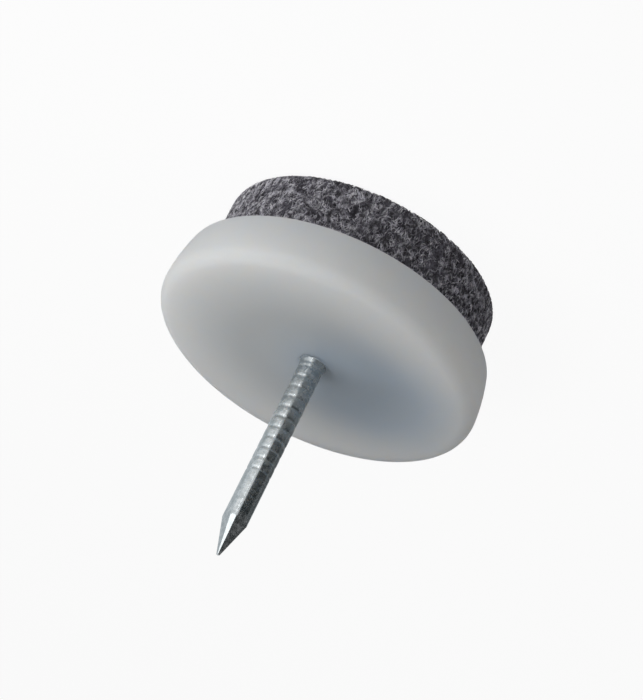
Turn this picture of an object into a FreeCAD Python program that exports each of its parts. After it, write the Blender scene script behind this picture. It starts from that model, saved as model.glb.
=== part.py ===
import FreeCAD, Part
import os

import Sketcher

# Nail-on felt furniture glide, in millimetres.
# A milky plastic disc is moulded round the head of a nail and holds a felt pad in its underside.
# The pad's sole lies on Z = 0 and the nail points up along +Z, which is the axis of every piece.

# Driving dimensions: alias, size in millimetres or a count, and what it measures
DIMENSIONS = (
    ("base_diameter", 24.0, "plastic disc across its felt side, the nominal size of the glide"),
    ("side_flare", 0.5, "how much further out the disc stands on its nail side"),
    ("side_radius", 12.0, "radius of the gentle bulge of the disc's side"),
    ("lip_wall", 1.3, "plastic wall round the felt"),
    ("lip_bevel", 0.25, "bevel of the disc's edge on the felt side"),
    ("rim_edge_radius", 0.45, "round of the disc's edge on the nail side"),
    ("recess_depth", 0.9, "depth of the recess that holds the felt"),
    ("web_under_head", 1.3, "plastic between the recess and the nail's head"),
    ("cover_over_head", 1.3, "plastic over the nail's head, up to the seat"),
    ("felt_proud", 5.1, "how far the felt stands out of the disc"),
    ("felt_clearance", 0.1, "gap between the felt and the wall of its recess"),
    ("felt_bevel", 0.4, "bevel for the soft edge of the felt's sole"),
    ("head_diameter", 4.5, "nail's head"),
    ("head_thickness", 0.8, "nail's head"),
    ("head_bevel", 0.2, "bevel of the head's two edges"),
    ("mould_clearance", 0.01, "skin between the moulded plastic and the nail"),
    ("neck_flare", 0.35, "how much further out the neck stands at the head than the shank"),
    ("neck_rise", 0.3, "how far the neck's taper shows above the seat"),
    ("shank_diameter", 1.9, "nail's wire"),
    ("nail_exposed", 17.0, "nail above the seat, point and all"),
    ("ring_first", 0.7, "seat to the middle of the first grip ring"),
    ("ring_pitch", 0.92, "one grip ring to the next"),
    ("ring_count", 11, "grip rings rolled into the shank"),
    ("ring_depth", 0.04, "depth of a grip ring"),
    ("ring_width", 0.45, "mouth of a grip ring, along the nail"),
    ("point_facets", 4, "wide facets of the diamond point"),
    ("facet_length", 3.5, "wide facet, along the nail"),
    ("facet_end", 0.2, "across the wide facets at the blunt tip"),
    ("ridge_length", 3.0, "narrow flat on each ridge of the point, along the nail"),
    ("ridge_end", 0.24, "across the narrow flats at the blunt tip"),
    ("cutter_overrun", 0.5, "how far the cuts of the point run out past the wire"),
)

# Radii and heights as rules on the driving dimensions
BASE_R = "(dims.base_diameter / 2)"
RIM_R = f"({BASE_R} + dims.side_flare)"
RECESS_R = f"({BASE_R} - dims.lip_wall)"
FELT_R = f"({RECESS_R} - dims.felt_clearance)"
HEAD_R = "(dims.head_diameter / 2)"
SHANK_R = "(dims.shank_diameter / 2)"
NECK_R = f"({SHANK_R} + dims.neck_flare)"
AXIS_R = "0"

SOLE_Z = "0"
LIP_Z = "dims.felt_proud"
FLOOR_Z = f"({LIP_Z} + dims.recess_depth)"
HEAD_LOW_Z = f"({FLOOR_Z} + dims.web_under_head)"
HEAD_TOP_Z = f"({HEAD_LOW_Z} + dims.head_thickness)"
SEAT_Z = f"({HEAD_TOP_Z} + dims.cover_over_head)"
NECK_END_Z = f"({SEAT_Z} + dims.neck_rise)"
TIP_Z = f"({SEAT_Z} + dims.nail_exposed)"

# The neck tapers straight from the head to just above the seat, so its radius at the seat follows
NECK_AT_SEAT_R = f"({SHANK_R} + dims.neck_flare * dims.neck_rise / (dims.neck_rise + dims.cover_over_head))"
# Both edges of the head are bevelled, so each bevel stays a little under half of its thickness
HEAD_BEVEL = "min(dims.head_bevel; dims.head_thickness / 2 - dims.mould_clearance)"

FULL_TURN = 360
START_INDEX, END_INDEX = 1, 2
SKETCH_ORIGIN_INDEX = (-1, 1)
HEIGHT_AXIS_INDEX = -2
RADIUS_AXIS_INDEX = -1
# The middle of a square corner's round lies this share of the way from the corner to the chord's far side
SQUARE_ROUND_SHARE = 1 - 0.5**0.5


def add_sheet(doc):
    """The sheet of driving dimensions: name, value and note on each row."""
    sheet = doc.addObject("Spreadsheet::Sheet", "dims")
    for row, (alias, size, note) in enumerate(DIMENSIONS, start=1):
        sheet.set(f"A{row}", alias)
        sheet.set(f"B{row}", str(size))
        sheet.setAlias(f"B{row}", alias)
        sheet.set(f"C{row}", note)
    doc.recompute()
    return sheet


def size_of(body, rule):
    """What a rule comes to with the sheet's present values."""
    return float(body.Document.dims.evalExpression(rule))


def origin_feature(body, role):
    """One of the body's own origin planes or axes."""
    return next(item for item in body.Origin.OriginFeatures if item.Role == role)


def add_sketch(body, name):
    """A sketch on the body's XZ plane: across is the radius, up is the height."""
    sketch = body.newObject("Sketcher::SketchObject", name)
    sketch.AttachmentSupport = (origin_feature(body, "XZ_Plane"), [""])
    sketch.MapMode = "FlatFace"
    return sketch


def hold_point(body, sketch, edge, end, radius_rule, height_rule, label):
    """Tie one end of a sketch edge to a radius and a height on the sheet."""
    places = (
        ("DistanceX", radius_rule, HEIGHT_AXIS_INDEX, f"{label}_radius"),
        ("DistanceY", height_rule, RADIUS_AXIS_INDEX, f"{label}_height"),
    )
    for kind, rule, axis, title in places:
        if rule == "0":
            sketch.addConstraint(Sketcher.Constraint("PointOnObject", edge, end, axis))
            continue
        held = Sketcher.Constraint(kind, *SKETCH_ORIGIN_INDEX, edge, end, size_of(body, rule))
        number = sketch.addConstraint(held)
        sketch.renameConstraint(number, title)
        sketch.setExpression(f"Constraints.{title}", rule)


def bulged_edge(start, end, radius):
    """An arc from start to end that bulges to the right of the way between them."""
    chord = end - start
    middle = (start + end) / 2
    rise = radius - (radius**2 - (chord.Length / 2) ** 2) ** 0.5
    outward = FreeCAD.Vector(chord.y, -chord.x, 0).normalize()
    return Part.ArcOfCircle(start, middle + outward * rise, end)


def bind_radius(body, sketch, edge, rule, title):
    """Tie the radius of a sketched arc to the sheet."""
    number = sketch.addConstraint(Sketcher.Constraint("Radius", edge, size_of(body, rule)))
    sketch.renameConstraint(number, title)
    sketch.setExpression(f"Constraints.{title}", rule)


def round_corner(body, sketch, corner, edges, points, rule):
    """Put a tangent arc between two edges, whose sharp corner stays as a point of construction."""
    title, radius_rule, height_rule = corner
    before, after = edges
    sharp, arc_start, arc_end = points
    middle = sharp + (arc_start + arc_end - sharp * 2) * SQUARE_ROUND_SHARE
    arc = sketch.addGeometry(Part.ArcOfCircle(arc_start, middle, arc_end), False)
    point = sketch.addGeometry(Part.Point(sharp), True)
    sketch.addConstraint(Sketcher.Constraint("Tangent", before, END_INDEX, arc, START_INDEX))
    sketch.addConstraint(Sketcher.Constraint("Tangent", arc, END_INDEX, after, START_INDEX))
    sketch.addConstraint(Sketcher.Constraint("PointOnObject", point, START_INDEX, before))
    sketch.addConstraint(Sketcher.Constraint("PointOnObject", point, START_INDEX, after))
    hold_point(body, sketch, point, START_INDEX, radius_rule, height_rule, title)
    bind_radius(body, sketch, arc, rule, f"{title}_round")


def outline_sketch(body, name, corners, bulges=None, rounds=None):
    """A closed outline through (title, radius rule, height rule) corners.

    bulges gives the radius rule of an edge that is an arc, by the title of the corner where it starts,
    and rounds the radius rule of a rounded corner, by its title.
    """
    bulges = bulges or {}
    rounds = rounds or {}
    sketch = add_sketch(body, name)
    count = len(corners)
    points = [FreeCAD.Vector(size_of(body, r), size_of(body, z), 0) for _, r, z in corners]
    arrivals = list(points)
    departures = list(points)
    for number, (title, _, _) in enumerate(corners):
        if title in rounds:
            here = points[number]
            radius = size_of(body, rounds[title])
            back = points[number - 1] - here
            ahead = points[(number + 1) % count] - here
            arrivals[number] = here + back.normalize() * radius
            departures[number] = here + ahead.normalize() * radius
    for number, (title, _, _) in enumerate(corners):
        start = departures[number]
        end = arrivals[(number + 1) % count]
        if title in bulges:
            sketch.addGeometry(bulged_edge(start, end, size_of(body, bulges[title])), False)
        else:
            sketch.addGeometry(Part.LineSegment(start, end), False)
    for number, corner in enumerate(corners):
        title, radius_rule, height_rule = corner
        before = (number - 1) % count
        if title in rounds:
            spots = (points[number], arrivals[number], departures[number])
            round_corner(body, sketch, corner, (before, number), spots, rounds[title])
        else:
            sketch.addConstraint(Sketcher.Constraint("Coincident", before, END_INDEX, number, START_INDEX))
            hold_point(body, sketch, number, START_INDEX, radius_rule, height_rule, title)
        if title in bulges:
            bind_radius(body, sketch, number, bulges[title], f"{title}_bulge")
    body.Document.recompute()
    if not sketch.FullyConstrained:
        raise RuntimeError(f"{name} is not held at every point")
    return sketch


def revolve(body, name, sketch):
    """Turn an outline round the Z axis into a solid."""
    turned = body.newObject("PartDesign::Revolution", name)
    turned.Profile = sketch
    turned.ReferenceAxis = (sketch, ["V_Axis"])
    turned.Angle = FULL_TURN
    body.Document.recompute()
    return turned


def check_cut(body, before):
    """A cut that points away from the solid takes nothing off and shows no error."""
    if body.Shape.Volume >= before:
        raise RuntimeError(f"{body.Tip.Label} took nothing off {body.Label}")


def head_corners(skin):
    """The flat head's outline from its middle to the neck, with its edges bevelled, grown by a skin."""
    reach = f"({HEAD_R} + {skin})"
    inset = f"({reach} - {HEAD_BEVEL})"
    return (
        ("head_centre", AXIS_R, HEAD_LOW_Z),
        ("head_low", inset, HEAD_LOW_Z),
        ("head_side_low", reach, f"{HEAD_LOW_Z} + {HEAD_BEVEL}"),
        ("head_side_top", reach, f"{HEAD_TOP_Z} - {HEAD_BEVEL}"),
        ("head_top", inset, HEAD_TOP_Z),
        ("neck_foot", f"({NECK_R} + {skin})", HEAD_TOP_Z),
    )


def add_plastic_base(doc):
    """The moulding: bulged side, recess for the felt, and the hollow that the nail's head fills."""
    body = doc.addObject("PartDesign::Body", "plastic_base")
    skin = "dims.mould_clearance"
    outside = (
        ("floor_centre", AXIS_R, FLOOR_Z),
        ("floor_corner", RECESS_R, FLOOR_Z),
        ("lip_inner", RECESS_R, LIP_Z),
        ("lip_outer", f"{BASE_R} - dims.lip_bevel", LIP_Z),
        ("side", BASE_R, f"{LIP_Z} + dims.lip_bevel"),
        ("rim", RIM_R, SEAT_Z),
        ("bore_mouth", f"{NECK_AT_SEAT_R} + {skin}", SEAT_Z),
    )
    hollow = tuple(reversed(head_corners(skin)))
    bulges = {"side": "dims.side_radius"}
    rounds = {"rim": "dims.rim_edge_radius"}
    revolve(body, "base_moulding", outline_sketch(body, "base_outline", outside + hollow, bulges, rounds))
    return body


def add_facets(body, name, end_rule, length_rule, turn_rule=None):
    """Slice one flat facet off the point, then repeat it round the nail."""
    half_end = f"({end_rule} / 2)"
    outside = f"({SHANK_R} + dims.cutter_overrun)"
    past_tip = f"({TIP_Z} + dims.cutter_overrun)"
    run_out = f"({TIP_Z} - {length_rule} * ({outside} - {half_end}) / ({SHANK_R} - {half_end}))"
    corners = (
        ("tip", half_end, TIP_Z),
        ("run_out", outside, run_out),
        ("clear", outside, past_tip),
        ("above", half_end, past_tip),
    )
    sketch = outline_sketch(body, f"{name}_outline", corners)
    if turn_rule:
        turn = FreeCAD.Rotation(FreeCAD.Vector(0, 1, 0), size_of(body, turn_rule))
        sketch.AttachmentOffset = FreeCAD.Placement(FreeCAD.Vector(), turn)
        sketch.setExpression("AttachmentOffset.Rotation.Angle", turn_rule)
    before = body.Shape.Volume
    slice_off = body.newObject("PartDesign::Pocket", f"{name}_slice")
    slice_off.Profile = sketch
    slice_off.Type = "Length"
    slice_off.SideType = "Symmetric"
    slice_off.setExpression("Length", f"2 * {outside}")
    body.Document.recompute()
    check_cut(body, before)
    ring = body.newObject("PartDesign::PolarPattern", f"{name}_round")
    ring.Originals = [slice_off]
    ring.Axis = (origin_feature(body, "Z_Axis"), [""])
    ring.Angle = FULL_TURN
    ring.setExpression("Occurrences", "dims.point_facets")
    body.Tip = ring
    body.Document.recompute()


def add_grip_rings(body):
    """Roll one ring into the shank, then repeat it along the nail."""
    height = f"({SEAT_Z} + dims.ring_first)"
    outside = f"({SHANK_R} + dims.ring_depth)"
    corners = (
        ("ring_bottom", f"{SHANK_R} - dims.ring_depth", height),
        ("ring_low", outside, f"{height} - dims.ring_width"),
        ("ring_high", outside, f"{height} + dims.ring_width"),
    )
    sketch = outline_sketch(body, "ring_outline", corners)
    before = body.Shape.Volume
    ring = body.newObject("PartDesign::Groove", "grip_ring")
    ring.Profile = sketch
    ring.ReferenceAxis = (sketch, ["V_Axis"])
    ring.Angle = FULL_TURN
    body.Document.recompute()
    check_cut(body, before)
    row = body.newObject("PartDesign::LinearPattern", "grip_rings")
    row.Originals = [ring]
    row.Direction = (origin_feature(body, "Z_Axis"), [""])
    row.setExpression("Length", "dims.ring_pitch * (dims.ring_count - 1)")
    row.setExpression("Occurrences", "dims.ring_count")
    body.Tip = row
    body.Document.recompute()


def add_nail(doc):
    """The nail: flat head and flared neck in the plastic, ringed shank, diamond point."""
    body = doc.addObject("PartDesign::Body", "nail")
    above = (
        ("neck_end", SHANK_R, NECK_END_Z),
        ("shank_end", SHANK_R, TIP_Z),
        ("tip_centre", AXIS_R, TIP_Z),
    )
    revolve(body, "nail_blank", outline_sketch(body, "nail_outline", head_corners("0") + above))
    add_grip_rings(body)
    add_facets(body, "facet", "dims.facet_end", "dims.facet_length")
    add_facets(body, "ridge", "dims.ridge_end", "dims.ridge_length", "180 / dims.point_facets")
    return body


def add_felt_pad(doc):
    """The punched felt disc, from its sole up to the floor of the recess."""
    body = doc.addObject("PartDesign::Body", "felt_pad")
    corners = (
        ("sole_centre", AXIS_R, SOLE_Z),
        ("sole_edge", f"{FELT_R} - dims.felt_bevel", SOLE_Z),
        ("side_low", FELT_R, "dims.felt_bevel"),
        ("seat_edge", FELT_R, FLOOR_Z),
        ("seat_centre", AXIS_R, FLOOR_Z),
    )
    revolve(body, "felt_disc", outline_sketch(body, "felt_outline", corners))
    return body


def check_document(doc, bodies):
    """Stop before anything is written if an object failed or a piece is not one sound solid."""
    doc.recompute()
    for item in doc.Objects:
        if "Invalid" in item.State or "Error" in item.State:
            raise RuntimeError(f"{item.Label} failed: {item.State}")
    for body in bodies:
        shape = body.Shape
        if shape.isNull() or not shape.isValid() or len(shape.Solids) != 1:
            raise RuntimeError(f"{body.Label} is not one sound solid")


def main():
    doc = FreeCAD.newDocument("felt_glide")
    add_sheet(doc)
    bodies = [add_plastic_base(doc), add_nail(doc), add_felt_pad(doc)]
    for body in bodies:
        body.Placement = FreeCAD.Placement()
    check_document(doc, bodies)
    os.makedirs("parts", exist_ok=True)
    for body in bodies:
        body.Shape.exportStep(f"parts/{body.Label}.step")
        box = body.Shape.optimalBoundingBox(False)
        reach = f"{box.XLength:.2f} across, Z {box.ZMin:.2f} to {box.ZMax:.2f}"
        print(f"{body.Label}: {body.Shape.Volume:.2f} mm3, {reach}")


main()
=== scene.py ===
# %% [markdown]
# # A nail-on furniture glide
#
# This small foot is hammered under a chair leg. It has three pieces: a milky plastic disc, a
# zinc-plated nail whose head is moulded into the disc, and a thick pad of grey felt glued into a
# recess on the other side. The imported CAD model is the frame: it gives every place and size, and
# each piece is made again here as a finer mesh in the same place, with a finish built from nodes.

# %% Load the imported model
import math

import bmesh
import bpy
import numpy as np
from mathutils import Matrix, Vector, noise


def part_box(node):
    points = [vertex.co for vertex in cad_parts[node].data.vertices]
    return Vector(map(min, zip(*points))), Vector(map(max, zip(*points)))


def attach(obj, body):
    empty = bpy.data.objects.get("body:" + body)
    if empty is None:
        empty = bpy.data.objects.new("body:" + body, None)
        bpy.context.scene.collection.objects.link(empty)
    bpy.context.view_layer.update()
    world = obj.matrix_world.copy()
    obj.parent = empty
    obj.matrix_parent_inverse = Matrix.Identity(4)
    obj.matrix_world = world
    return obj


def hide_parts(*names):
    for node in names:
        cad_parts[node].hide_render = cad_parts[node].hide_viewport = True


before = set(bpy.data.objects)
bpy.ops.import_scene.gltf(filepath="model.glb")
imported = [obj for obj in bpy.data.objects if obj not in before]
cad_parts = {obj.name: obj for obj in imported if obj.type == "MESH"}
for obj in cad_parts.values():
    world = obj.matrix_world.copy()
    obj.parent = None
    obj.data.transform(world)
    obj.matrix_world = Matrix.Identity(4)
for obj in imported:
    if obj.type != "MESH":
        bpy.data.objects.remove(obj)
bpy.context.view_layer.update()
MM = 0.001

print("nodes:", sorted(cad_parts))

# %% [markdown]
# ## Sizes from the frame
#
# The sizes could be typed in again, but then the picture and the CAD model could drift apart. Here
# the boxes of the three nodes give the main sizes, in millimetres, and only what a box can't say,
# such as a wall thickness or a ring's depth, is written as a number of its own.

# %% Read the main sizes
def node_sizes(node):
    """The radius, lowest and highest height of a node about the Z axis, in millimetres."""
    low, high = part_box(node)
    return high[0] / MM, low[2] / MM, high[2] / MM


RIM_R, LIP_Z, SEAT_Z = node_sizes("plastic_base")
HEAD_R, HEAD_Z, TIP_Z = node_sizes("nail")
FELT_R, SOLE_Z, FELT_TOP_Z = node_sizes("felt_pad")

FELT_GAP = 0.1
LIP_WALL = 1.3
SIDE_FLARE = 0.5
RECESS_R = FELT_R + FELT_GAP
BASE_R = RECESS_R + LIP_WALL
SEAT_EDGE_R = BASE_R + SIDE_FLARE

SHANK_R = 0.95
NECK_FLARE = 0.35
NECK_RISE = 0.3
HEAD_THICK = 0.8
NECK_R = SHANK_R + NECK_FLARE
HEAD_TOP_Z = HEAD_Z + HEAD_THICK
NECK_TOP_Z = SEAT_Z + NECK_RISE

print("radii of base, rim and felt:", [round(radius, 2) for radius in (BASE_R, RIM_R, FELT_R)])
print("heights of lip, seat and tip:", [round(height, 2) for height in (LIP_Z, SEAT_Z, TIP_Z)])

# %% [markdown]
# ## The camera
#
# The glide stands on its felt, nail up, and the photograph looks at it from above the nail side with
# the camera rolled over, so that the nail points down and to the left. A camera can be aimed by
# constraints or by eye. Here its axes are worked out from three angles, because then the nail's
# direction in the picture and the tilt of the disc are set as numbers and can be matched.

# %% Place the camera
IMAGE_WIDTH = 643
IMAGE_HEIGHT = 700
SENSOR_MM = 36.0
CAMERA_AZIMUTH = math.radians(-63.0)
CAMERA_POLAR = math.radians(61.5)
NAIL_IMAGE_ANGLE = math.radians(116.5)
CAMERA_DISTANCE = 260 * MM
NEAR_CLIP = 5 * MM
FAR_CLIP = 20.0
PIXELS_PER_MM = 13.6
LOOK_POINT = Vector((0, 0, LIP_Z * MM))
LOOK_PIXEL = (335.5, 319.0)


def camera_axes(azimuth, polar, image_angle):
    """The camera's right, up and back directions, with the nail at image_angle in the picture."""
    level = math.sin(polar)
    back = Vector((level * math.cos(azimuth), level * math.sin(azimuth), math.cos(polar)))
    level_up = (Vector((0, 0, 1)) - back * math.cos(polar)).normalized()
    level_right = level_up.cross(back)
    roll = math.atan2(math.cos(image_angle), -math.sin(image_angle))
    right = level_right * math.cos(roll) + level_up * math.sin(roll)
    up = level_up * math.cos(roll) - level_right * math.sin(roll)
    return right, up, back


right, up, back = camera_axes(CAMERA_AZIMUTH, CAMERA_POLAR, NAIL_IMAGE_ANGLE)
focal_pixels = PIXELS_PER_MM * CAMERA_DISTANCE / MM
aside = (LOOK_PIXEL[0] - IMAGE_WIDTH / 2) / focal_pixels * CAMERA_DISTANCE
below = (LOOK_PIXEL[1] - IMAGE_HEIGHT / 2) / focal_pixels * CAMERA_DISTANCE

camera = bpy.data.objects.new("camera", bpy.data.cameras.new("camera"))
bpy.context.collection.objects.link(camera)
camera.data.sensor_width = SENSOR_MM
camera.data.lens = focal_pixels / IMAGE_HEIGHT * SENSOR_MM
camera.data.clip_start = NEAR_CLIP
camera.data.clip_end = FAR_CLIP
place = LOOK_POINT - right * aside + up * below + back * CAMERA_DISTANCE
camera.matrix_world = Matrix.Translation(place) @ Matrix((right, up, back)).transposed().to_4x4()
bpy.context.scene.camera = camera
bpy.context.scene.view_settings.view_transform = "Standard"

print("lens", round(camera.data.lens, 1), "mm at", [round(x / MM) for x in place])

# %% [markdown]
# ## Colours and nodes
#
# A finish is a small graph of shader nodes. Three helpers keep the graphs short: one turns the sRGB
# hex colours that people read off a screen into the linear values that a shader works in, one adds a
# node together with its settings and its links, and one starts a material with its places in
# millimetres, so that a pattern's scale can be written as a real size.

# %% Helpers for materials
def linear(hex_colour):
    """Turn an sRGB hex colour into the linear RGBA that a shader socket takes."""
    parts = [int(hex_colour[at:at + 2], 16) / 255 for at in (1, 3, 5)]
    values = [part / 12.92 if part <= 0.04045 else ((part + 0.055) / 1.055) ** 2.4 for part in parts]
    return (*values, 1.0)


def add_node(tree, kind, settings=None, links=None, stops=None):
    """Add a node, set its properties and sockets, join its inputs, and give a colour ramp its stops."""
    node = tree.nodes.new(kind)
    for name, value in (settings or {}).items():
        if isinstance(name, int) or name in node.inputs:
            node.inputs[name].default_value = value
        else:
            setattr(node, name, value)
    for name, source in (links or {}).items():
        tree.links.new(source, node.inputs[name])
    for number, (position, colour) in enumerate(stops or ()):
        elements = node.color_ramp.elements
        stop = elements[number] if number < 2 else elements.new(position)
        stop.position = position
        stop.color = colour
    return node


def new_material(name):
    """An empty node material with its output and the object's own coordinates in millimetres."""
    material = bpy.data.materials.new(name)
    material.use_nodes = True
    tree = material.node_tree
    tree.nodes.clear()
    output = add_node(tree, "ShaderNodeOutputMaterial")
    place = add_node(tree, "ShaderNodeTexCoord")
    in_mm = add_node(
        tree,
        "ShaderNodeMapping",
        {"Scale": (1 / MM, 1 / MM, 1 / MM)},
        {"Vector": place.outputs["Object"]},
    )
    return material, tree, output, in_mm.outputs["Vector"]


print("half grey on a screen is", round(linear("#808080")[0], 3), "in linear light")

# %% [markdown]
# ## Turned profiles
#
# All three pieces are round, so each starts as a profile turned about Z. Blender's Screw modifier
# could do it. A short function gives the same mesh with exact control of the rings, which matters
# here: rounded corners need rings close together, and flat faces need some rings too, so that the
# smooth shading of the corners doesn't spill across them.

# %% Round and divide a profile
ARC_STEPS = 6
NEARLY_STRAIGHT = math.radians(89.5)


def soften(corners):
    """Round each (radius, height, rounding) corner of a profile with a tangent arc."""
    points = [corners[0][:2]]
    for before, corner, after in zip(corners, corners[1:], corners[2:]):
        here = np.array(corner[:2])
        way_in = np.array(before[:2]) - here
        way_out = np.array(after[:2]) - here
        way_in = way_in / np.linalg.norm(way_in)
        way_out = way_out / np.linalg.norm(way_out)
        half = math.acos(np.clip(way_in @ way_out, -1, 1)) / 2
        rounding = corner[2]
        if rounding == 0 or half > NEARLY_STRAIGHT:
            points.append(tuple(here))
            continue
        reach = rounding / math.tan(half)
        centre_way = (way_in + way_out) / np.linalg.norm(way_in + way_out)
        centre = here + centre_way * rounding / math.sin(half)
        start = here + way_in * reach - centre
        end = here + way_out * reach - centre
        turn = math.acos(np.clip(start @ end / rounding ** 2, -1, 1))
        for step in range(ARC_STEPS + 1):
            share = step / ARC_STEPS
            blend = math.sin((1 - share) * turn) * start + math.sin(share * turn) * end
            points.append(tuple(centre + blend / math.sin(turn)))
    points.append(corners[-1][:2])
    return points


def add_rings(points, longest):
    """Drop repeated points of a profile, and divide its long runs so that rings lie within longest."""
    finer = [points[0]]
    for start, end in zip(points, points[1:]):
        parts = math.ceil(math.dist(start, end) / longest)
        for part in range(1, parts + 1):
            share = part / parts
            radius = start[0] + (end[0] - start[0]) * share
            height = start[1] + (end[1] - start[1]) * share
            finer.append((radius, height))
    return finer


print("each rounded corner is an arc of", ARC_STEPS, "parts")

# %% Turn a profile and place a piece
ON_AXIS = 1e-6


def turned_mesh(name, profile, steps):
    """Turn a profile of (radius, height) points in millimetres, axis to axis, into a closed mesh."""
    angles = np.arange(steps) * (math.tau / steps)
    points = []
    rings = []
    for radius, height in profile:
        first = len(points)
        if radius < ON_AXIS:
            points.append((0, 0, height * MM))
            rings.append([first] * steps)
            continue
        points += [(radius * math.cos(a) * MM, radius * math.sin(a) * MM, height * MM) for a in angles]
        rings.append(list(range(first, first + steps)))
    faces = []
    for lower, upper in zip(rings, rings[1:]):
        for here in range(steps):
            there = (here + 1) % steps
            corners = (lower[here], lower[there], upper[there], upper[here])
            faces.append(tuple(dict.fromkeys(corners)))
    mesh = bpy.data.meshes.new(name)
    mesh.from_pydata(points, [], faces)
    mesh.shade_smooth()
    return mesh


def add_piece(name, mesh, material, node):
    """Put a mesh in the scene as a piece that rides with the object and stands for a CAD node."""
    piece = bpy.data.objects.new(name, mesh)
    bpy.context.collection.objects.link(piece)
    mesh.materials.append(material)
    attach(piece, "root")
    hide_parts(node)
    mesh.calc_loop_triangles()
    print(name, len(mesh.vertices), "points", len(mesh.loop_triangles), "triangles")
    return piece


print("points within", ON_AXIS, "mm of the axis are made one")

# %% [markdown]
# ## Milky moulded polypropylene
#
# The disc is natural polypropylene, moulded without dye. Light enters it, scatters for a few
# millimetres and leaves somewhere else, which is why its edges look soft and its thick rim looks
# brighter than the thin web over the dark felt and the steel nail head. The shader scatters light
# under the surface, and a darker web and a cool patch beside the nail are painted shade in its
# colour. The mould was lightly blasted, so the skin has a satin sheen with a very fine grain.

# %% Fade a tint on the plastic's face
FACE_ONLY = 4.0


def fade_on_face(tree, x, y, near, far, in_mm):
    """1 within near of a spot on the face, falling softly to 0 at far, and soon gone down the side."""
    stretched = add_node(
        tree,
        "ShaderNodeVectorMath",
        {"operation": "MULTIPLY", 1: (1, 1, FACE_ONLY)},
        {0: in_mm},
    )
    away = add_node(
        tree,
        "ShaderNodeVectorMath",
        {"operation": "DISTANCE", 1: (x, y, SEAT_Z * FACE_ONLY)},
        {0: stretched.outputs["Vector"]},
    )
    fade = add_node(
        tree,
        "ShaderNodeMapRange",
        {
            "interpolation_type": "SMOOTHSTEP",
            "From Min": near,
            "From Max": far,
            "To Min": 1.0,
            "To Max": 0.0,
        },
        {"Value": away.outputs["Value"]},
    )
    return fade.outputs["Result"]


print("a tint fades", FACE_ONLY, "times as fast down the side as on the face")

# %% Paint shade on the web of the plastic
PLASTIC_MILKY = "#E9EAE9"
PAINTED_WEB_SHADE = "#C1C4C5"
WEB_SHADE_INNER = 4.5
WEB_SHADE_OUTER = 12.2

plastic, tree, output, in_mm = new_material("natural_polypropylene_satin_moulded")
# Painted shade: the web is thin, and the dark felt behind it takes some of the light that the thick rim
# gives back, so the web's colour is painted darker
milk_and_web_shade = add_node(
    tree,
    "ShaderNodeMix",
    {"data_type": "RGBA", 6: linear(PLASTIC_MILKY), 7: linear(PAINTED_WEB_SHADE)},
    {0: fade_on_face(tree, 0, 0, WEB_SHADE_INNER, WEB_SHADE_OUTER, in_mm)},
)
print("the web fades into the rim from", WEB_SHADE_INNER, "to", WEB_SHADE_OUTER, "mm off the nail")

# %% Paint a cool shade on one side of the nail
SHADE_AND_CLOUD_TINT = "#DFEBF9"
PAINTED_SHADE_AZIMUTH = math.radians(-155)
PAINTED_SHADE_OFF_NAIL = 4.5
PAINTED_SHADE_NEAR = 2.5
PAINTED_SHADE_FAR = 9.5
CLOUD_MM = 5.0
CLOUD_DETAIL = 3.0
CLOUD_SHARE = 0.2

# Painted shade: a cool, darker patch on the shaded side of the nail, and faint random clouds all over
shade_x = PAINTED_SHADE_OFF_NAIL * math.cos(PAINTED_SHADE_AZIMUTH)
shade_y = PAINTED_SHADE_OFF_NAIL * math.sin(PAINTED_SHADE_AZIMUTH)
clouds = add_node(
    tree,
    "ShaderNodeTexNoise",
    {"Scale": 1 / CLOUD_MM, "Detail": CLOUD_DETAIL},
    {"Vector": in_mm},
)
shade_and_cloud_share = add_node(
    tree,
    "ShaderNodeMath",
    {"operation": "MULTIPLY_ADD", 1: CLOUD_SHARE, "use_clamp": True},
    {0: clouds.outputs["Fac"], 2: fade_on_face(tree, shade_x, shade_y, PAINTED_SHADE_NEAR, PAINTED_SHADE_FAR, in_mm)},
)
shaded_and_clouded = add_node(
    tree,
    "ShaderNodeMix",
    {"data_type": "RGBA", "blend_type": "MULTIPLY", 7: linear(SHADE_AND_CLOUD_TINT)},
    {0: shade_and_cloud_share.outputs["Value"], 6: milk_and_web_shade.outputs[2]},
)
print("the cool cloud lies", round(shade_x, 1), round(shade_y, 1), "mm off the nail")

# %% Give the plastic its satin skin
# The real grain is finer, and is drawn as coarse as it needs to show
GRAIN_MM = 0.16
GRAIN_DETAIL = 2.0
GRAIN_STRENGTH = 0.12
GRAIN_DEPTH = 0.02
NOISE_LOW = 0.3
NOISE_HIGH = 0.7
SATIN_SMOOTH = 0.46
SATIN_ROUGH = 0.58

# A blasted mould leaves a satin skin, so highlights are broad and soft and never sharp
grain = add_node(
    tree,
    "ShaderNodeTexNoise",
    {"Scale": 1 / GRAIN_MM, "Detail": GRAIN_DETAIL},
    {"Vector": in_mm},
)
satin = add_node(
    tree,
    "ShaderNodeMapRange",
    {"From Min": NOISE_LOW, "From Max": NOISE_HIGH, "To Min": SATIN_SMOOTH, "To Max": SATIN_ROUGH},
    {"Value": clouds.outputs["Fac"]},
)
skin = add_node(
    tree,
    "ShaderNodeBump",
    {"Strength": GRAIN_STRENGTH, "Distance": GRAIN_DEPTH * MM},
    {"Height": grain.outputs["Fac"]},
)
print("the skin has a grain of", GRAIN_MM, "mm")

# %% Let light into the plastic
PLASTIC_IOR = 1.49
PLASTIC_SPECULAR = 0.15
SCATTER_MM = 5.0
SCATTER_BY_COLOUR = (1.0, 0.88, 0.76)

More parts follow.
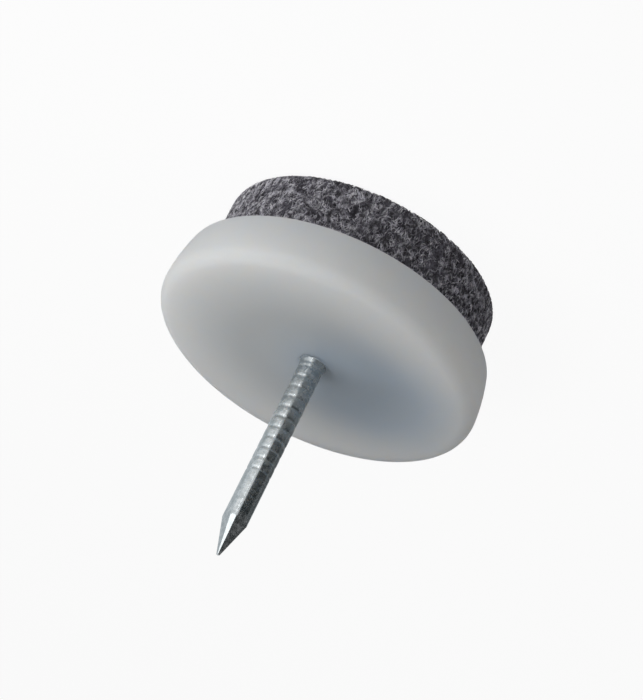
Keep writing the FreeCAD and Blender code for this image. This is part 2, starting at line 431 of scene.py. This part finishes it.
# Red light travels furthest in milky plastic and blue least, so thin edges look a little warm
shader = add_node(
    tree,
    "ShaderNodeBsdfPrincipled",
    {
        "IOR": PLASTIC_IOR,
        "Specular IOR Level": PLASTIC_SPECULAR,
        "Subsurface Weight": 1.0,
        "Subsurface Radius": SCATTER_BY_COLOUR,
        "Subsurface Scale": SCATTER_MM * MM,
    },
    {
        "Base Color": shaded_and_clouded.outputs[2],
        "Roughness": satin.outputs["Result"],
        "Normal": skin.outputs["Normal"],
    },
)
tree.links.new(shader.outputs["BSDF"], output.inputs["Surface"])
print(plastic.name, "has", len(tree.nodes), "nodes and scatters over", SCATTER_MM, "mm")

# %% [markdown]
# ## The plastic disc
#
# The disc flares a little from the felt to the chair leg and its side bulges softly. Underneath, a
# lip runs round the recess that holds the felt, and inside is the hollow that the nail's head fills.
# The hollow is modelled although nobody sees it, because light that scatters through the plastic
# stops there, and that makes part of the shade round the nail; the rest is painted shade in the colour.

# %% Turn the disc
SIDE_BULGE = 0.175
SIDE_SHARES = (0.15, 0.3, 0.45, 0.6, 0.72)
RIM_ROUND = 1.0
LIP_ROUND = 0.3
LIP_INNER_ROUND = 0.12
RECESS_ROUND = 0.1
NECK_EDGE_ROUND = 0.08
HEAD_ROUND = 0.1
SKIN_GAP = 0.01
DISC_RING_MM = 0.4
DISC_STEPS = 256
NECK_AT_SEAT_R = SHANK_R + NECK_FLARE * (NECK_TOP_Z - SEAT_Z) / (NECK_TOP_Z - HEAD_TOP_Z)

# The bulge is a parabola over the side's height, and the rim's rounding takes the rest of the side
side = []
for share in SIDE_SHARES:
    bulge = 4 * SIDE_BULGE * share * (1 - share)
    side.append((BASE_R + SIDE_FLARE * share + bulge, LIP_Z + (SEAT_Z - LIP_Z) * share, 0))

disc_corners = [
    (0, FELT_TOP_Z, 0),
    (RECESS_R, FELT_TOP_Z, RECESS_ROUND),
    (RECESS_R, LIP_Z, LIP_INNER_ROUND),
    (BASE_R, LIP_Z, LIP_ROUND),
    *side,
    (SEAT_EDGE_R, SEAT_Z, RIM_ROUND),
    (NECK_AT_SEAT_R + SKIN_GAP, SEAT_Z, NECK_EDGE_ROUND),
    (NECK_R + SKIN_GAP, HEAD_TOP_Z + SKIN_GAP, 0),
    (HEAD_R + SKIN_GAP, HEAD_TOP_Z + SKIN_GAP, HEAD_ROUND),
    (HEAD_R + SKIN_GAP, HEAD_Z - SKIN_GAP, HEAD_ROUND),
    (0, HEAD_Z - SKIN_GAP, 0),
]
disc_mesh = turned_mesh("plastic_disc", add_rings(soften(disc_corners), DISC_RING_MM), DISC_STEPS)
add_piece("plastic_disc", disc_mesh, plastic, "plastic_base")

# %% [markdown]
# ## Zinc-plated steel
#
# The nail is drawn steel wire with a thin bright zinc plate. Plating is a mirror with a faint haze,
# and it has a mottle of small zinc crystals. A metal has no colour of its own under the shine, so its
# base colour is the tint of its reflections, and it keeps the shader's default IOR.

# %% Mottle the zinc
ZINC_BRIGHT = "#C4C9CB"
ZINC_DULL = "#AFB5B7"
ZINC_DULL_TO = 0.35
ZINC_BRIGHT_FROM = 0.6
# Real crystals are far finer, and are drawn as coarse as they need to show
CRYSTAL_MM = 0.35
CRYSTAL_DETAIL = 2.0

# Bright plate mirrors the room softly, and its crystals break the reflections into a faint mottle
zinc, tree, output, in_mm = new_material("zinc_plated_drawn_steel")
crystals = add_node(
    tree,
    "ShaderNodeTexNoise",
    {"Scale": 1 / CRYSTAL_MM, "Detail": CRYSTAL_DETAIL},
    {"Vector": in_mm},
)
plate = add_node(
    tree,
    "ShaderNodeValToRGB",
    links={"Fac": crystals.outputs["Fac"]},
    stops=[(ZINC_DULL_TO, linear(ZINC_DULL)), (ZINC_BRIGHT_FROM, linear(ZINC_BRIGHT))],
)
print("the zinc has crystals of", CRYSTAL_MM, "mm")

# %% Make the zinc shine
HAZE_CLEAR = 0.22
HAZE_DULL = 0.3
DENT_STRENGTH = 0.08
DENT_DEPTH = 0.006
DRAWN_STRETCH = 0.9
ALONG_THE_WIRE = 0.25

haze = add_node(
    tree,
    "ShaderNodeMapRange",
    {"From Min": NOISE_LOW, "From Max": NOISE_HIGH, "To Min": HAZE_CLEAR, "To Max": HAZE_DULL},
    {"Value": crystals.outputs["Fac"]},
)
dents = add_node(
    tree,
    "ShaderNodeBump",
    {"Strength": DENT_STRENGTH, "Distance": DENT_DEPTH * MM},
    {"Height": crystals.outputs["Fac"]},
)
# Rolling marks run round the wire, so its highlights stretch along it
around = add_node(tree, "ShaderNodeTangent", {"direction_type": "RADIAL", "axis": "Z"})
shader = add_node(
    tree,
    "ShaderNodeBsdfPrincipled",
    {"Metallic": 1.0, "Anisotropic": DRAWN_STRETCH, "Anisotropic Rotation": ALONG_THE_WIRE},
    {
        "Base Color": plate.outputs["Color"],
        "Roughness": haze.outputs["Result"],
        "Normal": dents.outputs["Normal"],
        "Tangent": around.outputs["Tangent"],
    },
)
tree.links.new(shader.outputs["BSDF"], output.inputs["Surface"])
print(zinc.name, "has", len(tree.nodes), "nodes")

# %% [markdown]
# ## The nail
#
# Wire is gripped and headed in a machine: the grip leaves a row of shallow rings on the shank, and the
# cutter leaves a point with four wide facets and four narrow flats on their ridges. The shank is
# turned with the rings in its profile. The facets could be modelled by moving points, but cutting
# the turned mesh with planes keeps their edges straight and sharp, as the cutter does.

# %% Turn the nail
RING_FIRST = 0.7
RING_PITCH = 0.92
RING_COUNT = 11
RING_DEPTH = 0.028
RING_WIDTH = 0.46
RING_STEPS = 10
NECK_ROOT_ROUND = 0.05
NECK_ROUND = 0.4
NAIL_RING_MM = 0.5
NAIL_STEPS = 96

nail_profile = soften(
    [
        (0, HEAD_Z, 0),
        (HEAD_R, HEAD_Z, HEAD_ROUND),
        (HEAD_R, HEAD_TOP_Z, HEAD_ROUND),
        (NECK_R, HEAD_TOP_Z, NECK_ROOT_ROUND),
        (SHANK_R, NECK_TOP_Z, NECK_ROUND),
        (SHANK_R, SEAT_Z + RING_FIRST - RING_WIDTH / 2, 0),
    ]
)
for ring in range(RING_COUNT):
    middle = SEAT_Z + RING_FIRST + ring * RING_PITCH
    for step in range(RING_STEPS + 1):
        share = step / RING_STEPS
        dip = RING_DEPTH * (1 - math.cos(math.tau * share)) / 2
        nail_profile.append((SHANK_R - dip, middle + (share - 0.5) * RING_WIDTH))
nail_profile += [(SHANK_R, TIP_Z), (0, TIP_Z)]
nail_mesh = turned_mesh("nail", add_rings(nail_profile, NAIL_RING_MM), NAIL_STEPS)
print("the rings end", round(middle + RING_WIDTH / 2 - SEAT_Z, 2), "mm above the seat")

# %% Cut the nail's point
POINT_FACETS = 4
CREASE = math.radians(12)
# Each cut: the width across the blunt tip, the length along the nail, and the turn in degrees
WIDE_FACET = (0.2, 3.5, 0.0)
RIDGE_FLAT = (0.24, 3.0, 45.0)


def cut_facets(mesh, facet):
    """Slice the flat facets of one kind off the point, and close each cut."""
    end_width, length, turn = facet
    slope = (SHANK_R - end_width / 2) / length
    work = bmesh.new()
    work.from_mesh(mesh)
    for number in range(POINT_FACETS):
        azimuth = math.radians(turn + 360 / POINT_FACETS * number)
        normal = Vector((math.cos(azimuth), math.sin(azimuth), slope)).normalized()
        point = Vector((math.cos(azimuth), math.sin(azimuth), 0)) * end_width / 2 * MM
        point.z = TIP_Z * MM
        geometry = work.verts[:] + work.edges[:] + work.faces[:]
        cut = bmesh.ops.bisect_plane(work, geom=geometry, plane_co=point, plane_no=normal, clear_outer=True)
        rim = [item for item in cut["geom_cut"] if isinstance(item, bmesh.types.BMEdge)]
        bmesh.ops.contextual_create(work, geom=rim)
    bmesh.ops.recalc_face_normals(work, faces=work.faces)
    work.to_mesh(mesh)
    work.free()


cut_facets(nail_mesh, WIDE_FACET)
cut_facets(nail_mesh, RIDGE_FLAT)
nail_mesh.shade_smooth()
nail_mesh.set_sharp_from_angle(angle=CREASE)
add_piece("nail_with_grip_rings", nail_mesh, zinc, "nail")

# %% [markdown]
# ## Needled wool felt
#
# The felt is a thick pad of charcoal and grey wool, needled into a dense mass and punched out as a
# disc. Close by it is not grey at all: dark and pale fibres lie across each other, with black gaps
# between them. The dense core gets a mottled dark finish, and the fibres get their own tones.

# %% Mix the tones of the core
FELT_BLACK = "#201F23"
FELT_CHARCOAL = "#3D3B41"
FELT_GREY = "#6B6972"
BLACK_TO = 0.6
CHARCOAL_AT = 0.78
GREY_FROM = 0.95
CLUMP_MM = 0.9
CLUMP_DETAIL = 2.0
CLUMP_SHARE = 0.6
TUFT_MM = 0.22
TUFT_DETAIL = 3.0

# Small tufts on larger clumps: the sum picks the tone, and matt wool gives no highlight
felt_core, tree, output, in_mm = new_material("needled_wool_felt_core")
tufts = add_node(
    tree,
    "ShaderNodeTexNoise",
    {"Scale": 1 / TUFT_MM, "Detail": TUFT_DETAIL},
    {"Vector": in_mm},
)
clumps = add_node(
    tree,
    "ShaderNodeTexNoise",
    {"Scale": 1 / CLUMP_MM, "Detail": CLUMP_DETAIL},
    {"Vector": in_mm},
)
heather = add_node(
    tree,
    "ShaderNodeMath",
    {"operation": "MULTIPLY_ADD", 1: CLUMP_SHARE},
    {0: clumps.outputs["Fac"], 2: tufts.outputs["Fac"]},
)
# A ramp has two stops of its own, so its ends come first and the middle one is added to them
tones = add_node(
    tree,
    "ShaderNodeValToRGB",
    links={"Fac": heather.outputs["Value"]},
    stops=[
        (BLACK_TO, linear(FELT_BLACK)),
        (GREY_FROM, linear(FELT_GREY)),
        (CHARCOAL_AT, linear(FELT_CHARCOAL)),
    ],
)
print("tufts of", TUFT_MM, "mm lie on clumps of", CLUMP_MM, "mm")

# %% Give the core its nap
NAP_STRENGTH = 0.8
NAP_DEPTH = 0.08
CORE_ROUGH = 0.95
CORE_SPECULAR = 0.2
WOOL_IOR = 1.54

nap = add_node(
    tree,
    "ShaderNodeBump",
    {"Strength": NAP_STRENGTH, "Distance": NAP_DEPTH * MM},
    {"Height": tufts.outputs["Fac"]},
)
shader = add_node(
    tree,
    "ShaderNodeBsdfPrincipled",
    {"Roughness": CORE_ROUGH, "IOR": WOOL_IOR, "Specular IOR Level": CORE_SPECULAR},
    {"Base Color": tones.outputs["Color"], "Normal": nap.outputs["Normal"]},
)
tree.links.new(shader.outputs["BSDF"], output.inputs["Surface"])
print(felt_core.name, "has", len(tree.nodes), "nodes")

# %% Make the fibres' finishes
PATCH_MM = 0.5
PATCH_DETAIL = 1.0
DARK_TO = 0.38
PALE_FROM = 0.62
FIBRE_ROUGH = 0.7
FIBRE_SHEEN = 0.15
FIBRE_SHEEN_ROUGH = 0.4


def wool_finish(name, dark, pale):
    """A wool tone that wanders in patches between two colours, with the faint sheen of fibre ends."""
    material, tree, output, in_mm = new_material(name)
    patches = add_node(
        tree,
        "ShaderNodeTexNoise",
        {"Scale": 1 / PATCH_MM, "Detail": PATCH_DETAIL},
        {"Vector": in_mm},
    )
    tone = add_node(
        tree,
        "ShaderNodeValToRGB",
        links={"Fac": patches.outputs["Fac"]},
        stops=[(DARK_TO, linear(dark)), (PALE_FROM, linear(pale))],
    )
    shader = add_node(
        tree,
        "ShaderNodeBsdfPrincipled",
        {
            "Roughness": FIBRE_ROUGH,
            "IOR": WOOL_IOR,
            "Sheen Weight": FIBRE_SHEEN,
            "Sheen Roughness": FIBRE_SHEEN_ROUGH,
        },
        {"Base Color": tone.outputs["Color"]},
    )
    tree.links.new(shader.outputs["BSDF"], output.inputs["Surface"])
    print(name, "goes from", dark, "to", pale)
    return material


# Dark, middle and pale wool look grey together from afar, and flecked close by
wool_charcoal = wool_finish("wool_fibre_charcoal", "#2C2A2F", "#807E87")
wool_grey = wool_finish("wool_fibre_grey", "#56535C", "#CDCBD5")
wool_pale = wool_finish("wool_fibre_pale", "#8F8D96", "#F0EEF3")

# %% [markdown]
# ## The felt pad
#
# A pad this dense keeps its punched shape: straight sides and a sole that is only a little rounded at
# its edge. A cloth simulation would swell it, which real felt doesn't do, so the core is turned and
# its wall and sole are pushed in and out by noise at two sizes, clumps and tufts.

# %% Turn the felt core and rough it up
SOLE_ROUND = 0.5
CORE_INSET = 0.1
ROUGH_CLUMP = 0.1
ROUGH_TUFT = 0.07
SMOOTH_UNDER_LIP = 0.05
CORE_RING_MM = 0.2
CORE_STEPS = 360
CLUMP_SHIFT = Vector((3.1, 7.7, 1.3))

core_corners = [
    (0, SOLE_Z + CORE_INSET, 0),
    (FELT_R - CORE_INSET, SOLE_Z + CORE_INSET, SOLE_ROUND),
    (FELT_R - CORE_INSET, LIP_Z, 0),
    (FELT_R - CORE_INSET, FELT_TOP_Z, 0),
    (0, FELT_TOP_Z, 0),
]
core_mesh = turned_mesh("felt_core", add_rings(soften(core_corners), CORE_RING_MM), CORE_STEPS)
for point in core_mesh.vertices:
    spot = point.co / MM
    if spot.z > LIP_Z - SMOOTH_UNDER_LIP:
        continue
    clump = noise.noise(spot / CLUMP_MM + CLUMP_SHIFT)
    tuft = noise.noise(spot / TUFT_MM)
    push = (ROUGH_CLUMP * clump + ROUGH_TUFT * tuft) * MM
    at_sole = spot.z < SOLE_Z + SOLE_ROUND and spot.xy.length < FELT_R - SOLE_ROUND
    outward = Vector((0, 0, -1)) if at_sole else Vector((spot.x, spot.y, 0)).normalized()
    point.co += outward * push
    point.co.z = max(point.co.z, SOLE_Z * MM)
core_mesh.update()
felt = add_piece("felt_core", core_mesh, felt_core, "felt_pad")

# %% [markdown]
# ## The fibres
#
# Fibres could be a hair system, but hair isn't a mesh and would be lost in an export. Here each fibre
# is a thin three-sided tube, bent a little, that narrows to a point at both ends and dives into the
# core there. Real wool is about 0.03 mm thick, too fine to show at this size, so the fibres are drawn
# about three times as thick. Wool of one tone lies in patches, and the paler tones are gathered on
# the side that the low softbox lights, as painted light.

# %% Plan the paths of the fibres
FIBRE_RADIUS = 0.045
FIBRE_PARTS = 4
FIBRE_SINK = 0.03
SHORTEST_SHARE = 0.35
LEAN_SPREAD = 0.75
BEND_SPREAD = 1.0
LEAST_RISE = 0.3
SOLE_MARGIN = 0.9
WALL_FOOT = 0.1
WALL_TOP = 0.06
PAINTED_LIGHT_SIDE = math.radians(-8)


def fibre_paths(count, seed, on_sole, longest, lift, lit_side_pull):
    """Bent paths on the felt's wall or sole as (count, points, 3), and the way out at each point."""
    rng = np.random.default_rng(seed)
    share = np.linspace(0, 1, FIBRE_PARTS + 1)
    length = rng.uniform(SHORTEST_SHARE * longest, longest, (count, 1))
    lean = rng.normal(math.pi / 2, LEAN_SPREAD, (count, 1))
    heading = lean + rng.normal(0, BEND_SPREAD, (count, 1)) * (share - 0.5)
    rise = rng.uniform(LEAST_RISE, 1.0, (count, 1)) * lift * np.sin(math.pi * share) - FIBRE_SINK
    along = np.cumsum(np.cos(heading), axis=1) * length / FIBRE_PARTS
    upward = np.cumsum(np.sin(heading), axis=1) * length / FIBRE_PARTS
    if on_sole:
        reach = (FELT_R - SOLE_MARGIN) * np.sqrt(rng.uniform(0, 1, (count, 1)))
        turn = rng.uniform(0, math.tau, (count, 1))
        x = reach * np.cos(turn) + along - along.mean(axis=1, keepdims=True)
        y = reach * np.sin(turn) + upward - upward.mean(axis=1, keepdims=True)
        z = np.maximum(SOLE_Z + CORE_INSET - rise, SOLE_Z + FIBRE_RADIUS)
        out = np.broadcast_to(np.array((0.0, 0.0, -1.0)), (count, FIBRE_PARTS + 1, 3))
        return np.stack((x, y, z), axis=2), out
    low = SOLE_Z + WALL_FOOT
    high = LIP_Z - WALL_TOP
    z = rng.uniform(low, high, (count, 1)) + upward - upward.mean(axis=1, keepdims=True)
    # A fibre that would leave the wall is folded back onto it at the foot and under the lip
    z = low + np.abs(z - low)
    z = high - np.abs(high - z)
    # Painted light: paler wool is pulled round to the side that the low softbox lights
    turn = rng.vonmises(PAINTED_LIGHT_SIDE, lit_side_pull, (count, 1)) + along / FELT_R
    rounding = np.clip(SOLE_Z + SOLE_ROUND - z, 0, SOLE_ROUND)
    tuck = SOLE_ROUND - np.sqrt(SOLE_ROUND ** 2 - rounding ** 2)
    reach = FELT_R - CORE_INSET - tuck + rise
    out = np.stack((np.cos(turn), np.sin(turn), np.zeros_like(turn)), axis=2)
    return np.stack((reach * np.cos(turn), reach * np.sin(turn), z), axis=2), out


print("each fibre bends in", FIBRE_PARTS, "parts and is", 2 * FIBRE_RADIUS, "mm thick")

# %% Plan the faces of a fibre
FIBRE_SIDES = 3


def fibre_faces():
    """The faces of one fibre as point numbers, and the place of each corner in its cell of the map."""
    quads = []
    cells = []
    for part in range(FIBRE_PARTS):
        for here in range(FIBRE_SIDES):
            there = (here + 1) % FIBRE_SIDES
            low = part * FIBRE_SIDES
            high = low + FIBRE_SIDES
            quads.append((low + there, low + here, high + here, high + there))
            cells += [(here + 1, part), (here, part), (here, part + 1), (here + 1, part + 1)]
    return np.array(quads), np.array(cells)


print("a fibre has", len(fibre_faces()[0]), "faces round its sides")

# %% Turn the paths into tubes
TIP_MERGE = 1e-5
CELL_MARGIN = 0.1


def fibre_mesh(name, paths, out):
    """Thin tubes along the paths, closed at their tips, with a map that gives each a cell of its own."""
    count, points = paths.shape[:2]
    along = np.gradient(paths, axis=1)
    along /= np.linalg.norm(along, axis=2, keepdims=True)
    across = np.cross(along, out)
    across /= np.linalg.norm(across, axis=2, keepdims=True)
    lift = np.cross(across, along)
    thickness = FIBRE_RADIUS * (1 - np.linspace(-1, 1, points) ** 4)
    turns = np.arange(FIBRE_SIDES) * math.tau / FIBRE_SIDES + math.pi / 2
    ring = [across * math.cos(a) + lift * math.sin(a) for a in turns]
    tubes = paths[:, :, None] + np.stack(ring, axis=2) * thickness[None, :, None, None]

    quads, cells = fibre_faces()
    starts = np.arange(count)[:, None, None] * (points * FIBRE_SIDES)
    faces = (quads[None] + starts).reshape(-1, 4)
    mesh = bpy.data.meshes.new(name)
    mesh.from_pydata((tubes.reshape(-1, 3) * MM).tolist(), [], faces.tolist())

    columns = math.ceil(math.sqrt(count))
    cell = cells / (FIBRE_SIDES, FIBRE_PARTS) * (1 - 2 * CELL_MARGIN) + CELL_MARGIN
    corner = np.stack((np.arange(count) % columns, np.arange(count) // columns), axis=1)
    uv = (corner[:, None] + cell[None]) / columns
    bake_map = mesh.uv_layers.new(name="OFBake")
    bake_map.data.foreach_set("uv", uv.astype(np.float32).ravel())

    # The ring at each tip has no width, so its points are merged into one
    work = bmesh.new()
    work.from_mesh(mesh)
    bmesh.ops.remove_doubles(work, verts=work.verts, dist=TIP_MERGE * MM)
    work.to_mesh(mesh)
    work.free()
    mesh.shade_smooth()
    return mesh


print("points within", TIP_MERGE, "mm at the tips are made one")

# %% Lay the fibres
SOLE_SEED = 100

# Each kind: piece, wool, fibres on the wall, seed, longest and lift in mm, pull to the lit side as painted
# light
fibre_kinds = (
    ("felt_fibres_charcoal", wool_charcoal, 7000, 11, 1.0, 0.08, 0.0),
    ("felt_fibres_grey", wool_grey, 6000, 12, 0.9, 0.08, 0.4),
    ("felt_fibres_pale", wool_pale, 3600, 13, 0.8, 0.09, 0.8),
)
for name, wool, wall_count, seed, longest, lift, lit_side_pull in fibre_kinds:
    wall_paths, wall_out = fibre_paths(wall_count, seed, False, longest, lift, lit_side_pull)
    sole_paths, sole_out = fibre_paths(wall_count // 2, seed + SOLE_SEED, True, longest, lift / 2, 0.0)
    mesh = fibre_mesh(name, np.concatenate((wall_paths, sole_paths)), np.concatenate((wall_out, sole_out)))
    add_piece(name, mesh, wool, "felt_pad")

# %% [markdown]
# ## The floor
#
# The glide stands on a white paper sweep. A white floor under soft light would photograph grey, and
# more light would burn out the plastic. So for the camera, and for what the metal mirrors, the paper's
# white is mixed in as a glow, and the rest stays real so that the shadow still shows.

# %% Lay the floor
FLOOR_HALF = 3.0

floor_mesh = bpy.data.meshes.new("floor")
floor_corners = [(x * FLOOR_HALF, y * FLOOR_HALF, 0) for x, y in ((-1, -1), (1, -1), (1, 1), (-1, 1))]
floor_mesh.from_pydata(floor_corners, [], [(0, 1, 2, 3)])
floor = bpy.data.objects.new("floor", floor_mesh)
bpy.context.collection.objects.link(floor)
print("the floor is", 2 * FLOOR_HALF, "m wide")

# %% Make the paper's finish
FLOOR_WHITE = "#F4F4F4"
PURE_WHITE = "#FFFFFF"
FLOOR_SHARE = 0.94


def seen_directly(tree):
    """1 for rays from the camera, a mirror or glass, and 0 for the light that falls on the object."""
    path = add_node(tree, "ShaderNodeLightPath")
    either = add_node(
        tree,
        "ShaderNodeMath",
        {"operation": "MAXIMUM"},
        {0: path.outputs["Is Camera Ray"], 1: path.outputs["Is Glossy Ray"]},
    )
    seen = add_node(
        tree,
        "ShaderNodeMath",
        {"operation": "MAXIMUM"},
        {0: either.outputs["Value"], 1: path.outputs["Is Transmission Ray"]},
    )
    return seen.outputs["Value"]


# Matt paper has no gloss, so it takes a soft shadow and mirrors nothing
paper, tree, output, in_mm = new_material("white_paper_sweep")
matt = add_node(tree, "ShaderNodeBsdfDiffuse", {"Color": linear(FLOOR_WHITE)})
white = add_node(tree, "ShaderNodeEmission", {"Color": linear(PURE_WHITE), "Strength": 1.0})
share = add_node(
    tree,
    "ShaderNodeMath",
    {"operation": "MULTIPLY", 1: FLOOR_SHARE},
    {0: seen_directly(tree)},
)
both = add_node(
    tree,
    "ShaderNodeMixShader",
    links={0: share.outputs["Value"], 1: matt.outputs["BSDF"], 2: white.outputs["Emission"]},
)
tree.links.new(both.outputs["Shader"], output.inputs["Surface"])
floor_mesh.materials.append(paper)
print(paper.name, "glows with", FLOOR_SHARE, "of its white where the camera sees it")

# %% [markdown]
# ## The light
#
# One lamp can't light the side, the face and the felt evenly, because the rim overhangs the felt. So a
# low softbox on the left lights the side and the felt, one from above lights the face, two weak ones
# lift the edges from behind, and a narrow strip draws the highlight on the nail. The room adds a
# little light from everywhere, and looks white to the camera.

# %% Light the room
ROOM_LIGHT = 0.055

world = bpy.data.worlds.new("white_room")
bpy.context.scene.world = world
world.use_nodes = True
tree = world.node_tree
tree.nodes.clear()
strength = add_node(
    tree,
    "ShaderNodeMapRange",
    {"To Min": ROOM_LIGHT, "To Max": 1.0},
    {"Value": seen_directly(tree)},
)
room = add_node(
    tree,
    "ShaderNodeBackground",
    {"Color": linear(PURE_WHITE)},
    {"Strength": strength.outputs["Result"]},
)
add_node(tree, "ShaderNodeOutputWorld", links={"Surface": room.outputs["Background"]})
print(world.name, "lights the object at", ROOM_LIGHT)

# %% Hang the softboxes
def softbox(name, round_from_camera, elevation, distance, size, watts, mirrored):
    """An area lamp aimed at the seat, its directions in degrees, which metal may or may not mirror."""
    lamp = bpy.data.lights.new(name, "AREA")
    lamp.shape = "RECTANGLE"
    lamp.size = size[0]
    lamp.size_y = size[1]
    lamp.energy = watts
    stand = bpy.data.objects.new(name, lamp)
    bpy.context.collection.objects.link(stand)
    azimuth = math.radians(math.degrees(CAMERA_AZIMUTH) + round_from_camera)
    height = math.radians(elevation)
    level = math.cos(height)
    way = Vector((math.cos(azimuth) * level, math.sin(azimuth) * level, math.sin(height)))
    stand.location = Vector((0, 0, SEAT_Z * MM)) + way * distance
    stand.rotation_euler = way.to_track_quat("Z", "Y").to_euler()
    stand.visible_camera = False
    stand.visible_glossy = mirrored
    print(name, [round(x, 3) for x in stand.location])


# Each lamp: degrees round from the camera and up, distance and size in metres, watts, seen by mirrors
softbox("low_softbox", 56, 12, 0.10, (0.12, 0.05), 0.025, True)
softbox("top_softbox", 60, 62, 0.075, (0.08, 0.04), 0.0275, True)
softbox("back_softbox_left", 128, 30, 0.15, (0.12, 0.05), 0.015, True)
softbox("back_softbox_right", -86, 3, 0.16, (0.12, 0.03), 0.039, False)
softbox("strip_light", 24, 2, 0.10, (0.006, 0.03), 0.0045, True)

# %% [markdown]
# ## Flags for the nail
#
# Bright metal shows only what stands around it, and in an all-white room it would look white. A
# photographer stands cards round it. Here a dark flag gives the nail its dark half, a paler one the
# lighter edge of that half, and a grey card its bright half. Only mirrors see them, so they neither
# show in the picture nor shade the plastic and the felt.

# %% Stand the flags and the card
FLAG_NEAR = 14.0
FLAG_FAR = 240.0
FLAG_HEIGHT = 110.0
FLAG_LIFT = 0.3
FLAG_STEPS = 24
FLAG_SECTION = ((FLAG_NEAR, FLAG_LIFT), (FLAG_FAR, FLAG_LIFT), (FLAG_FAR, FLAG_HEIGHT))


def mirror_card(name, start, end, shader_kind, colour):
    """A card on the floor, bent up at its far edge, between two turns from the camera, for mirrors."""
    points = []
    for step in range(FLAG_STEPS + 1):
        azimuth = CAMERA_AZIMUTH + math.radians(start + (end - start) * step / FLAG_STEPS)
        for reach, height in FLAG_SECTION:
            points.append((reach * math.cos(azimuth) * MM, reach * math.sin(azimuth) * MM, height * MM))
    row = len(FLAG_SECTION)
    faces = []
    for step in range(FLAG_STEPS):
        for part in range(row - 1):
            first = step * row + part
            faces.append((first, first + row, first + row + 1, first + 1))
    mesh = bpy.data.meshes.new(name)
    mesh.from_pydata(points, [], faces)
    card = bpy.data.objects.new(name, mesh)
    bpy.context.collection.objects.link(card)
    card.visible_camera = False
    card.visible_diffuse = False
    card.visible_transmission = False
    card.visible_shadow = False
    finish, tree, output, in_mm = new_material(name)
    shader = add_node(tree, shader_kind, {"Color": linear(colour)})
    tree.links.new(shader.outputs[0], output.inputs["Surface"])
    mesh.materials.append(finish)
    print(name, "stands from", start, "to", end, "degrees")


mirror_card("dark_flag", -80, 5, "ShaderNodeBsdfDiffuse", "#5A6062")
mirror_card("pale_flag", -150, -80, "ShaderNodeBsdfDiffuse", "#B4B9BB")
mirror_card("grey_card", 62, 210, "ShaderNodeEmission", "#D6DBDE")

# %% [markdown]
# ## The end
#
# The finer meshes keep the object's size. The scene is brought up to date at the end.

# %% Finish
bpy.context.view_layer.update()
